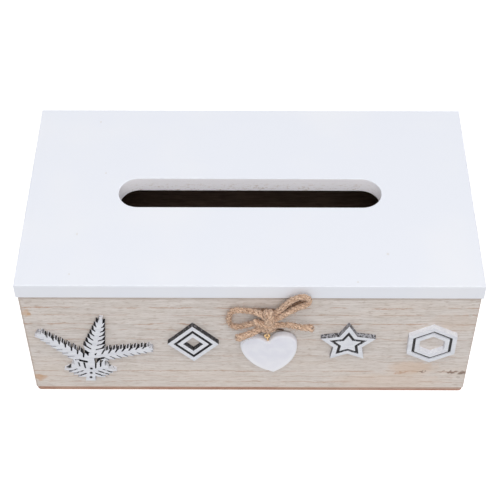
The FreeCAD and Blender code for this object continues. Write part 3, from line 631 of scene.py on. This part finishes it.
def ornament_paint(name, cut, soot):
    """White paint on the face, black in the groove, and cut edges that the paint reaches here and there."""
    look = Look(f"{name}_paint")
    is_sprig = name == "sprig"
    outward = look.times(look.face_y, -1.0)
    brush = look.grain(look.x, look.y, look.z, (7.0, 1.0, 1.2), 3.0)
    grit = look.even_noise(0.55, 4.0, 0.75)
    patch = look.even_noise(4.0, 3.0, 0.6)
    white = look.blend(brush, 0.3, 0.7, ORNAMENT_WHITES)
    side = look.blend(look.add(grit, look.times(patch, 0.5)), 0.62, 0.98, cut)
    if is_sprig:
        side = leaflet_sides(look, side, grit)
    elif soot:
        speckle = look.even_noise(1.1, 2.0, 0.6)
        sooty = look.blend(speckle, 0.34 + 0.25 * soot, 0.46 + 0.25 * soot, (SOOT, cut[1]))
        side = look.coat(side, sooty, look.rise(look.face_z, 0.2, 0.7), 0.85)
    worn = look.rise(look.add(outward, look.sway(grit, 0.5)), 0.99, 0.80)
    face = look.rise(outward, 0.35, 0.75)
    colour = look.coat(side, look.coat(white, ORNAMENT_WEAR, worn, 0.85), face)
    black = look.blend(grit, 0.4, 0.75, GROOVE_BLACKS)
    colour = look.coat(colour, black, look.rise(look.y, *GROOVE), face)
    # Black on and round the stem's holes: their charred walls and painted shade
    for centre in SPRIG_HOLE_SHADES if is_sprig else ():
        colour = look.coat(colour, black, look.blot(look.x, look.z, centre, HOLE_SHADE_REACH))
    look.bump(look.add(brush, grit), 0.04, 0.5)
    return look.finish(colour, look.spread(grit, 0.45, 0.75), shine=0.4)


def leaflet_sides(look, side, grit):
    """Paint that wraps onto the outer ends of the sprig's leaflets and leaves the slits black, with painted
    shade between the arms.
    """
    across, up = look.add(look.x, -SPRIG_AT[0]), look.add(look.z, -SPRIG_AT[1])
    slant = look.add(look.times(across, 0.70), look.times(up, 0.71))
    is_left = look.times(look.rise(slant, 0.8, 0.4), look.rise(across, 0.2, -0.2))
    is_right = look.most(look.times(look.rise(across, 7.3, 7.8), look.rise(up, 13.5, 12.5)),
                         look.times(look.rise(across, 0.0, 0.4), look.rise(up, 2.0, 1.0)))
    patch = look.even_noise(1.6, 3.0, 0.6)
    outs, bands, ribs = [], [], []
    for degrees, root, bare, pitch in FROND_LEAFLETS:
        cosine, sine = math.cos(math.radians(degrees)), math.sin(math.radians(degrees))
        from_x, from_z = look.add(across, -root[0]), look.add(up, -root[1])
        facing = look.add(look.times(look.face_x, -sine), look.times(look.face_z, cosine))
        outs.append(look.size_of(facing))
        along = look.add(look.times(from_x, cosine), look.times(from_z, sine), -bare)
        phase = look.math("FRACT", look.add(look.times(along, 2 / pitch), look.sway(patch, 0.5)))
        bands.append(look.times(look.rise(phase, 0.10, 0.22), look.rise(phase, 0.56, 0.44)))
        ribs.append(look.add(look.times(from_x, -sine), look.times(from_z, cosine)))
    outs[0] = look.most(outs[0], look.times(look.face_z, look.rise(up, 27.0, 29.0)))
    lean, band = outs[0], bands[0]
    for share, out, light in ((is_left, outs[1], bands[1]), (is_right, outs[2], bands[2])):
        lean = look.add(lean, look.times(share, look.add(out, look.times(lean, -1.0))))
        band = look.add(band, look.times(share, look.add(light, look.times(band, -1.0))))

    left_edge = look.times(is_left, look.rise(ribs[1], 0.6, 1.2), look.rise(ribs[1], 6.2, 5.8))
    right_edge = look.times(is_right, look.rise(ribs[2], -0.6, -1.2), look.rise(ribs[2], -6.2, -5.8))
    side = look.coat(side, LEFT_ARM_EDGE, left_edge, 0.9)
    side = look.coat(side, RIGHT_ARM_EDGE, right_edge, 0.75)
    wear = look.add(grit, patch)
    ends = look.coat(SOOT, look.blend(wear, 0.70, 1.05, LEAFLET_ENDS), band, look.rise(wear, 0.50, 0.76))
    side = look.coat(side, ends, look.rise(lean, 0.70, 0.88))
    foot = look.times(look.rise(up, -6.0, -7.5), look.rise(look.size_of(look.add(across, 1.5)), 5.0, 6.0))
    mottle = look.blend(look.even_noise(2.6, 2.0), 0.38, 0.48, SPRIG_FOOT)
    side = look.coat(side, mottle, foot, look.rise(look.face_z, 0.0, 0.3))
    # Painted shade on the cut sides in the middle between the arms
    side = look.coat(side, SPRIG_MIDDLE_SHADE, look.rise(look.blot(across, up, *SPRIG_SHADE_SPOT), 0.05, 0.3))
    tips = look.most(*(look.blot(across, up, tip, TIP_REACH) for tip in SPRIG_TIPS))
    return look.coat(side, look.blend(patch, 0.36, 0.60, TIP_SMEARS), tips, 0.8)


def heart_paint():
    """Soft white paint, with painted shade on the upper faces and painted highlight on the rims and towards
    the lower edges.
    """
    look = Look("heart_paint")
    cloud = look.even_noise(6.0, 3.0)
    grit = look.even_noise(0.7, 3.0, 0.6)
    colour = look.blend(cloud, 0.35, 0.7, HEART_WHITES)
    # Painted highlight on the rounded rims that do not face up
    rim = look.rise(look.times(look.face_y, -1.0), 0.97, 0.75)
    colour = look.coat(colour, HEART_RIM_HIGHLIGHT, rim, look.rise(look.face_z, 0.5, 0.0), 0.8)
    # Painted shade on the upper faces
    colour = look.coat(colour, HEART_TOP_SHADE, look.rise(look.face_z, 0.1, 0.7))
    # Painted highlight along the lower edges and towards the bottom
    edges = []
    for centre, radius in HEART_HIGHLIGHT_ARCS:
        away = [look.add(look.x, -centre[0]), look.add(look.z, -centre[1])]
        reach = look.math("SQRT", look.add(*(look.times(side, side) for side in away)))
        edges.append(look.rise(reach, *(radius - inward for inward in HEART_HIGHLIGHT_BAND)))
    edge = look.times(look.most(*edges), look.rise(look.z, *HEART_HIGHLIGHT_FADE))
    low = look.rise(look.z, *HEART_LOW_HIGHLIGHT_FADE)
    colour = look.coat(colour, HEART_LOW_HIGHLIGHT, look.add(look.times(low, 0.5), look.times(edge, 0.45)))
    colour = look.coat(colour, HEART_NICKS, look.rise(grit, 0.74, 0.80), 0.2)
    look.bump(look.add(look.times(cloud, 0.5), look.times(grit, 0.3)), 0.04, 0.5)
    return look.finish(colour, look.spread(grit, 0.55, 0.72), shine=0.35)


# Metals

def metal(name, pair, smooth, dull):
    """Cloudy metal whose roughness goes from smooth to dull."""
    look = Look(name)
    cloud = look.even_noise(2.2, 4.0, 0.6)
    fine = look.even_noise(0.25, 2.0)
    colour = look.blend(cloud, 0.32, 0.7, pair)
    look.bump(fine, 0.01, 0.4)
    return look.finish(colour, look.spread(cloud, smooth, dull), metal=1.0)


# Jute

def jute(name, pair, groove_shade_share):
    """Fibre streaks that run along each ply, with brown flecks, pale strands and painted shade in the
    grooves between the plies.
    """
    look = Look(name)
    lay = look.node("ShaderNodeAttribute", attribute_name="lay").outputs["Vector"]
    height = look.node("ShaderNodeAttribute", attribute_name="height").outputs["Fac"]
    run, turn_a, turn_b = look.split(lay)
    fibres = look.grain(run, turn_a, turn_b, (2.4, 0.28, 0.28), 4.0, 0.7)
    cloud = look.grain(run, turn_a, turn_b, (5.0, 1.6, 1.6), 2.0)
    flecks = look.rise(look.grain(run, turn_a, turn_b, (1.9, 0.34, 0.34), 2.0), 0.57, 0.67)
    specks = look.even_noise(0.75, 2.0, 0.6)
    # Painted shade where a ply's surface lies deep, in the grooves between plies
    groove_shade = look.rise(look.add(height, look.sway(fibres, 0.35)), 0.86, 0.62)
    colour = look.blend(fibres, 0.32, 0.68, pair)
    colour = look.coat(colour, look.mix(0.5, *pair), look.rise(cloud, 0.4, 0.7), 0.35)
    colour = look.coat(colour, JUTE_FLECKS, flecks, 0.8)
    colour = look.coat(colour, JUTE_SPECKS, look.rise(specks, 0.58, 0.66), 0.75)
    colour = look.coat(colour, pair[1], look.rise(specks, 0.41, 0.32), 0.55)
    colour = look.coat(colour, JUTE_GROOVE_SHADE, groove_shade, groove_shade_share)
    look.bump(fibres, 0.18, 0.9)
    look.shader.inputs["Sheen Weight"].default_value = 0.25
    look.shader.inputs["Sheen Roughness"].default_value = 0.6
    return look.finish(colour, look.spread(fibres, 0.75, 0.95), shine=0.2)


# Twine

def smooth_line(route, step=TWINE_STEP):
    """Read points at an even step from a smooth spline along a route in front of the board."""
    points = [(x, y + FRONT_FACE * MM, z) for x, y, z in route]
    curve = bpy.data.curves.new("route", "CURVE")
    curve.dimensions = "3D"
    spline = curve.splines.new("NURBS")
    spline.points.add(len(points) - 1)
    for knot, point in zip(spline.points, points):
        knot.co = (*point, 1.0)
    spline.order_u = 3
    spline.use_endpoint_u = True
    spline.resolution_u = SPLINE_STEPS
    holder = bpy.data.objects.new("route", curve)
    drawn = bpy.data.meshes.new_from_object(holder)
    line = np.array([corner.co for corner in drawn.vertices])
    bpy.data.meshes.remove(drawn)
    bpy.data.objects.remove(holder)
    bpy.data.curves.remove(curve)
    return evenly(line, step)


def run_along(line):
    """Distance from a line's start to each of its points."""
    return np.concatenate([[0.0], np.cumsum(np.linalg.norm(np.diff(line, axis=0), axis=1))])


def evenly(line, step):
    run = run_along(line)
    count = max(int(round(run[-1] / step)), 8)
    marks = np.linspace(0.0, run[-1], count + 1)
    return np.stack([np.interp(marks, run, line[:, way]) for way in range(3)], axis=1)


def frames_along(line):
    """Headings along a line, and two cross directions that don't spin about it."""
    heads = np.gradient(line, axis=0)
    heads /= np.linalg.norm(heads, axis=1, keepdims=True)
    first = np.cross(heads[0], (0.0, 0.0, 1.0))
    if np.linalg.norm(first) < 0.1:
        first = np.cross(heads[0], (1.0, 0.0, 0.0))
    sides = [first / np.linalg.norm(first)]
    for head in heads[1:]:
        side = sides[-1] - head * np.dot(sides[-1], head)
        sides.append(side / np.linalg.norm(side))
    sides = np.array(sides)
    return heads, sides, np.cross(heads, sides)


class Tubes:
    """Gathers tubes into one mesh, with each point's place along and round its ply."""

    def __init__(self):
        self.points, self.faces, self.lays, self.heights = [], [], [], []

    def add(self, line, radii, count, lay_start=0.0, twist=0.0, lobes=0, heights=None):
        _, sides, ups = frames_along(line)
        base = len(self.points)
        turns = np.linspace(0.0, 2 * math.pi, count, endpoint=False)
        run = lay_start
        for i, centre in enumerate(line):
            if i:
                run += float(np.linalg.norm(line[i] - line[i - 1])) / MM
            for turn in turns:
                swell = 1.0 + (LOBE_DEPTH * math.cos(lobes * turn - twist * run) if lobes else 0.0)
                out = math.cos(turn) * sides[i] + math.sin(turn) * ups[i]
                spot = centre + radii[i] * swell * out
                self.points.append(spot)
                self.heights.append(heights(i, spot) if heights else 1.0)
                spun = turn + LAY_SPIN * twist * run
                self.lays.append((run, math.cos(spun) + lay_start, math.sin(spun)))
        last = len(line) - 1
        for i in range(last):
            for k in range(count):
                a, b = base + i * count + k, base + i * count + (k + 1) % count
                self.faces.append((a, b, b + count, a + count))
        self.faces.append(tuple(base + k for k in reversed(range(count))))
        self.faces.append(tuple(base + last * count + k for k in range(count)))

    def made(self, name, material):
        mesh = bpy.data.meshes.new(name)
        mesh.from_pydata([tuple(point) for point in self.points], [], self.faces)
        lay = mesh.attributes.new("lay", "FLOAT_VECTOR", "POINT")
        lay.data.foreach_set("vector", np.array(self.lays, np.float32).ravel())
        height = mesh.attributes.new("height", "FLOAT", "POINT")
        height.data.foreach_set("value", np.array(self.heights, np.float32))
        mesh.polygons.foreach_set("use_smooth", [True] * len(mesh.polygons))
        mesh.materials.append(material)
        mesh.update()
        item = bpy.data.objects.new(name, mesh)
        bpy.context.scene.collection.objects.link(item)
        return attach(item, "box")


def ply_lines(line, radius, lay, plies, splay, start):
    """Lines of the plies that wind round a line. They part over its last stretch by splay."""
    _, sides, ups = frames_along(line)
    run = run_along(line)
    near_end = np.clip((run - (run[-1] - FRAY_LENGTH)) / FRAY_LENGTH, 0.0, 1.0)
    offset = PLY_OFFSET * radius * (1.0 + splay * near_end ** 2)
    lines = []
    for ply in range(plies):
        turn = start + 2 * math.pi * (run / lay + ply / plies)
        lines.append(line + offset[:, None] * (np.cos(turn)[:, None] * sides + np.sin(turn)[:, None] * ups))
    return lines


def twine(name, line, radius, lay, material, seed, splay=0.0, plies=3):
    """A laid twine: plies that wind round a line, each a little uneven along its run."""
    chance = random.Random(seed)
    tubes = Tubes()
    reach = np.broadcast_to(radius, len(line))

    def height(i, spot):
        """Distance from the twine's middle, as a share of its radius."""
        return float(np.linalg.norm(spot - line[i])) / reach[i]

    for i, ply in enumerate(ply_lines(line, radius, lay, plies, splay, chance.uniform(0, 6))):
        phase = chance.uniform(0, 6)
        marks = np.linspace(0.0, 1.0, len(ply)) * len(ply)
        waves = 1.0 + SLOW_WAVE[0] * np.sin(marks * SLOW_WAVE[1] + phase)
        waves = waves + QUICK_WAVE[0] * np.sin(marks * QUICK_WAVE[1])
        lay_start = PLY_START * (i + 1) + SEED_START * seed
        tubes.add(ply, PLY_SHARE * radius * waves, PLY_SIDES, lay_start, PLY_TWIST, PLY_LOBES, height)
    return tubes.made(name, material)


def loose_fibres(name, strands, material, seed):
    """Loose fibres that stand off twine lines, and tufts at their cut ends."""
    chance = random.Random(seed)
    tubes = Tubes()
    steps = np.linspace(0.0, 1.0, HAIR_POINTS)
    for line, radius, count, tuft in strands:
        heads, sides, ups = frames_along(line)
        for i in range(count + tuft):
            at_end = i >= count
            spot = len(line) - 1 if at_end else chance.randrange(2, len(line) - 2)
            turn = chance.uniform(0, 2 * math.pi)
            out = math.cos(turn) * sides[spot] + math.sin(turn) * ups[spot]
            ahead = heads[spot] * (1.0 if at_end else chance.choice((-1.0, 1.0)))
            lean = chance.uniform(*(TUFT_LEAN if at_end else HAIR_LEAN))
            way = ahead * (1 - lean) + out * lean
            way = way / np.linalg.norm(way)
            bend = out * chance.uniform(*HAIR_CURL) + np.array([0.0, 0.0, chance.uniform(*HAIR_SAG)])
            reach = chance.uniform(*(TUFT_REACH if at_end else HAIR_REACH)) * MM
            root = line[spot] + out * radius * (chance.uniform(*TUFT_ROOT) if at_end else HAIR_ROOT)
            hair = np.array([root + way * reach * s + bend * reach * CURL_SHARE * s ** 2 for s in steps])
            thick = chance.uniform(*HAIR_RADIUS) * MM
            tubes.add(hair, thick * (1.0 - HAIR_TAPER * steps), HAIR_SIDES, lay_start=chance.uniform(0, 90))
    return tubes.made(name, material)


def swelling(line, marks):
    """Radius at every point of a line, from marks along its run."""
    shares, radii = zip(*marks)
    return np.interp(np.linspace(0.0, 1.0, len(line)), shares, radii)


def add_bow(paints):
    pale = paints["pale"]
    right = smooth_line(RIGHT_LOOP + LEFT_TAIL)
    left = smooth_line(LEFT_LOOP + RIGHT_TAIL)
    loop = smooth_line(CHARM_YARN, YARN_STEP)
    right_cord = twine("bow_right_cord", right, swelling(right, RIGHT_SWELL), TWINE_LAY, pale,
                       RIGHT_SEED, RIGHT_SPLAY)
    left_cord = twine("bow_left_cord", left, swelling(left, LEFT_SWELL), TWINE_LAY, pale,
                      LEFT_SEED, LEFT_SPLAY)
    hairy = [(right, TWINE_RADIUS, CORD_HAIRS, RIGHT_TUFT), (left, TWINE_RADIUS, CORD_HAIRS, LEFT_TUFT)]
    for name, route, share, paint, seed, count in KNOT_STRANDS:
        line = smooth_line(route)
        twine(name, line, share * TWINE_RADIUS, TWINE_LAY, paints[paint], seed)
        hairy.append((line, share * TWINE_RADIUS, count, 0))
    yarn = twine("bow_charm_yarn", loop, YARN_RADIUS, YARN_LAY, pale, YARN_SEED, plies=YARN_PLIES)
    hairs = loose_fibres("bow_fibres", hairy, pale, HAIR_SEED)
    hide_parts("twine_right_loop", "twine_left_tail")
    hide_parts("twine_left_loop", "twine_right_tail")
    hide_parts("twine_knot")
    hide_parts("twine_yarn_loop")


# Stage

def add_camera():
    pitch, yaw, roll = (math.radians(angle) for angle in (CAMERA_PITCH, CAMERA_YAW, CAMERA_ROLL))
    ahead = Vector((math.sin(yaw) * math.cos(pitch), math.cos(yaw) * math.cos(pitch), -math.sin(pitch)))
    right = Vector((math.cos(yaw), -math.sin(yaw), 0.0))
    up = right.cross(ahead)
    across = math.cos(roll) * right + math.sin(roll) * up
    upward = math.cos(roll) * up - math.sin(roll) * right
    camera = bpy.data.objects.new("camera", bpy.data.cameras.new("camera"))
    camera.data.sensor_width = CAMERA_SENSOR
    camera.data.lens = CAMERA_LENS
    turn = Matrix((across, upward, -ahead)).transposed().to_4x4()
    camera.matrix_world = Matrix.Translation(Vector(CAMERA_AT) * MM) @ turn
    bpy.context.scene.collection.objects.link(camera)
    bpy.context.scene.camera = camera


def seen_share(tree):
    """1 for rays from the camera, mirrors and glass."""
    path = tree.nodes.new("ShaderNodeLightPath")
    total = path.outputs["Is Camera Ray"]
    for name in ("Is Glossy Ray", "Is Transmission Ray"):
        most = tree.nodes.new("ShaderNodeMath")
        most.operation = "MAXIMUM"
        tree.links.new(total, most.inputs[0])
        tree.links.new(path.outputs[name], most.inputs[1])
        total = most.outputs[0]
    return total


def add_world():
    world = bpy.data.worlds.new("studio")
    bpy.context.scene.world = world
    world.use_nodes = True
    tree = world.node_tree
    soft = tree.nodes["Background"]
    soft.inputs["Color"].default_value = WORLD_COLOUR
    soft.inputs["Strength"].default_value = WORLD_LIGHT
    white = tree.nodes.new("ShaderNodeBackground")
    white.inputs["Color"].default_value = WHITE
    white.inputs["Strength"].default_value = 1.0
    mix = tree.nodes.new("ShaderNodeMixShader")
    tree.links.new(seen_share(tree), mix.inputs[0])
    tree.links.new(soft.outputs[0], mix.inputs[1])
    tree.links.new(white.outputs[0], mix.inputs[2])
    tree.links.new(mix.outputs[0], tree.nodes["World Output"].inputs["Surface"])


def add_floor():
    mesh = bpy.data.meshes.new("floor")
    corners = ((-1, -1), (1, -1), (1, 1), (-1, 1))
    mesh.from_pydata([(x * FLOOR_HALF, y * FLOOR_HALF, -FLOOR_DROP) for x, y in corners], [], [(0, 1, 2, 3)])
    material = bpy.data.materials.new("floor")
    material.use_nodes = True
    tree = material.node_tree
    shader = tree.nodes["Principled BSDF"]
    shader.inputs["Base Color"].default_value = FLOOR_COLOUR
    shader.inputs["Roughness"].default_value = FLOOR_ROUGHNESS
    shader.inputs["Specular IOR Level"].default_value = 0.0
    shader.inputs["Emission Color"].default_value = WHITE
    lift = tree.nodes.new("ShaderNodeMath")
    lift.operation = "MULTIPLY"
    tree.links.new(seen_share(tree), lift.inputs[0])
    lift.inputs[1].default_value = FLOOR_LIFT
    tree.links.new(lift.outputs[0], shader.inputs["Emission Strength"])
    mesh.materials.append(material)
    floor = bpy.data.objects.new("floor", mesh)
    bpy.context.scene.collection.objects.link(floor)


def add_lamp(name, at, size, power, colour):
    lamp = bpy.data.lights.new(name, "AREA")
    lamp.shape = "DISK"
    lamp.size = size
    lamp.energy = power
    lamp.color = colour
    item = bpy.data.objects.new(name, lamp)
    item.location = at
    item.rotation_mode = "QUATERNION"
    item.rotation_quaternion = (Vector(LAMP_AIM) - Vector(at)).to_track_quat("-Z", "Y")
    bpy.context.scene.collection.objects.link(item)


def dress(name, material, edge=0.0):
    """Give a CAD node its material, and soften its edges by a size in millimetres."""
    item = NODES[name]
    item.data.materials.clear()
    item.data.materials.append(material)
    if edge:
        soft = item.modifiers.new("edge", "BEVEL")
        soft.width = edge * MM
        soft.segments = EDGE_STEPS
        soft.limit_method = "ANGLE"
        soft.angle_limit = math.radians(EDGE_ANGLE)


def dress_all():
    dress("lid", lid_paint())
    dress("front_panel", limed_wood("front_wood", True), WOOD_EDGE)
    dress("back_panel", limed_wood("back_wood", True), WOOD_EDGE)
    side_wood = limed_wood("side_wood", False)
    for side in ("left", "right"):
        dress(f"{side}_panel", side_wood, WOOD_EDGE)
    dress("bottom_panel", hardboard())
    plug = filler()
    for side in ("front", "back"):
        dress(f"{side}_filler_plugs", plug)
    for name, cut, soot, edge in ORNAMENTS:
        dress(f"{name}_ornament", ornament_paint(name, tones(*cut), soot), edge)
    dress("heart_charm", heart_paint())
    brass = metal("brass", BRASS, 0.28, 0.40)
    dress("heart_screw_eye", metal("pale_brass", PALE_BRASS, 0.26, 0.46))
    for side in ("left", "right"):
        for piece in ("box_leaf", "lid_leaf", "pin"):
            dress(f"{side}_hinge_{piece}", brass)
    for name in ("hinge_box_screws", "hinge_lid_screws"):
        dress(name, brass)
    steel = metal("steel", STEEL, 0.25, 0.45)
    for name in ("front_brads", "back_brads", "base_brads"):
        dress(name, steel)
    add_bow({
        "pale": jute("jute", JUTE_PALE, 0.90),
        # Darker jute copies as painted shade and painted shadow
        "shaded": jute("jute_shade", JUTE_SHADED, 0.75),
        "deep": jute("jute_painted_shadow", JUTE_PAINTED_SHADOW, 0.75),
    })


add_camera()
add_world()
add_floor()
for one_lamp in LAMPS:
    add_lamp(*one_lamp)
dress_all()
bpy.context.scene.view_settings.view_transform = "Standard"
